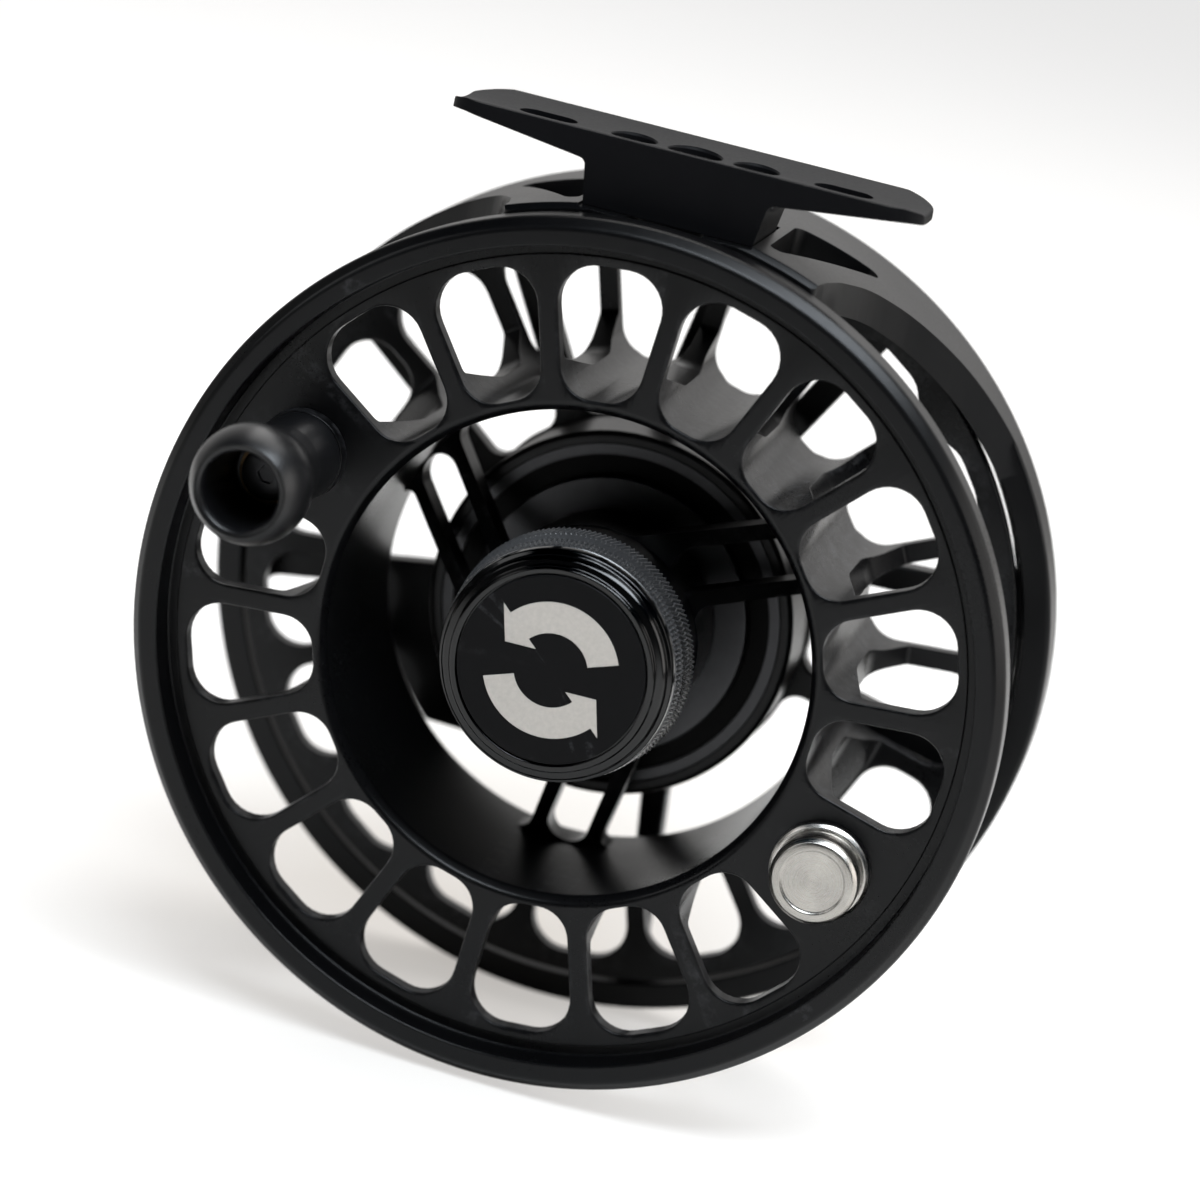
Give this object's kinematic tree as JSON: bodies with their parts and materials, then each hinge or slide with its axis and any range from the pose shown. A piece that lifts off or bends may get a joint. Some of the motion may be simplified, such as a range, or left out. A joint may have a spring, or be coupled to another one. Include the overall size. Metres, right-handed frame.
{
  "type": "fly fishing reel",
  "caption": "Large-arbor fly reel with a ported spool, open ring frame, rod foot, crank knob, steel counterweight, knurled release cap and rear drag knob.",
  "frame": {"origin": "centre of the overall bounding box at rest; the spindle axis runs along Y 3.56 mm below it", "axes": "+Y along the spindle axis from the handle side to the drag knob side; +Z from the spindle axis up to the foot; X along the foot"},
  "size_m": [0.1032, 0.0676, 0.11],
  "materials": {
    "anodised": "satin black anodised",
    "anodised_gloss": "polished black anodised",
    "steel": "turned stainless",
    "black_steel": "black oxide steel",
    "polymer": "matte black",
    "rubber": "matte",
    "bronze": "sintered bronze",
    "cork": "cork friction face",
    "carbon": "woven carbon friction face"
  },
  "bodies": {
    "frame": {"frame": "anodised", "reel_foot": "anodised", "foot_screw_1": "black_steel", "foot_screw_2": "black_steel", "foot_screw_3": "black_steel", "spindle": "steel", "spindle_nut": "steel", "spindle_circlip": "steel", "drag_housing_cover": "anodised", "housing_circlip": "black_steel", "cover_oring": "rubber", "shaft_seal": "rubber", "friction_disc_front": "cork", "click_spring": "steel", "knob_detent_spring": "steel", "bearing_inner_ring": "steel", "drag_knob_screw": "steel"},
    "drag_rotor": {"drag_rotor": "steel", "rotor_bush": "bronze"},
    "drive_hub": {"drive_hub": "anodised", "drive_pin_1": "steel", "drive_pin_2": "steel", "drive_pin_3": "steel", "clutch_shell": "steel", "clutch_rollers": "steel", "click_ring": "black_steel", "bearing_outer_ring": "steel", "bearing_balls": "steel"},
    "spool": {"spool": "anodised", "cap_oring": "rubber", "handle_pin": "steel", "handle_collar": "anodised", "handle_screw": "black_steel", "counterweight_collar": "steel", "counterweight_button": "steel", "counterweight_stud": "steel"},
    "handle": {"handle_knob": "polymer", "handle_bush_front": "bronze", "handle_bush_rear": "bronze"},
    "cap_carrier": {"cap_thrust_washer": "polymer"},
    "cap": {"cap_body": "anodised_gloss", "cap_face_disc": "anodised", "cap_screw": "steel"},
    "drag_knob": {"drag_knob": "anodised", "drag_knob_cover": "anodised_gloss"},
    "thrust": {"thrust_washer": "bronze", "thrust_pin_1": "steel", "thrust_pin_2": "steel", "thrust_pin_3": "steel", "thrust_ring": "steel", "drag_spring_washer_1": "steel", "drag_spring_washer_2": "steel", "pressure_plate": "steel", "friction_disc_rear": "carbon"},
    "click_plunger": {"click_plunger": "steel"},
    "knob_detent": {"knob_detent_ball": "steel"}
  },
  "joints": [
    {"name": "drag_slip", "type": "hinge", "parent": "frame", "child": "drag_rotor", "pos_m": [0, 0.00915, -0.00356], "axis": [0, 1, 0], "continuous": true},
    {"name": "spool_spin", "type": "hinge", "parent": "drag_rotor", "child": "drive_hub", "pos_m": [0, 0.00415, -0.00356], "axis": [0, 1, 0], "continuous": true},
    {"name": "spool_release", "type": "slide", "parent": "drive_hub", "child": "spool", "axis": [0, -1, 0], "range_m": [0, 0.045]},
    {"name": "handle_spin", "type": "hinge", "parent": "spool", "child": "handle", "pos_m": [-0.03473, -0.02085, 0.01161], "axis": [0, 1, 0], "continuous": true},
    {"name": "cap_travel", "type": "slide", "parent": "spool", "child": "cap_carrier", "axis": [0, -1, 0], "range_m": [0, 0.008]},
    {"name": "cap_turn", "type": "hinge", "parent": "cap_carrier", "child": "cap", "pos_m": [0, -0.01285, -0.00356], "axis": [0, -1, 0], "range_deg": [0, 2885]},
    {"name": "drag_turn", "type": "hinge", "parent": "frame", "child": "drag_knob", "pos_m": [0, 0.02915, -0.00356], "axis": [0, -1, 0], "range_deg": [0, 331]},
    {"name": "thrust_travel", "type": "slide", "parent": "frame", "child": "thrust", "axis": [0, -1, 0], "range_m": [0, 0.0005]},
    {"name": "click_travel", "type": "slide", "parent": "frame", "child": "click_plunger", "axis": [0, 1, 0], "range_m": [0, 0.0005], "stiffness_N_per_m": 300},
    {"name": "detent_travel", "type": "slide", "parent": "frame", "child": "knob_detent", "axis": [0, -1, 0], "range_m": [0, 0.0003], "stiffness_N_per_m": 300}
  ],
  "couplings": [
    {"joint": "cap_turn", "follows": "cap_travel", "rad_per_m": 6283.2},
    {"joint": "drag_turn", "follows": "thrust_travel", "rad_per_m": 11519}
  ]
}
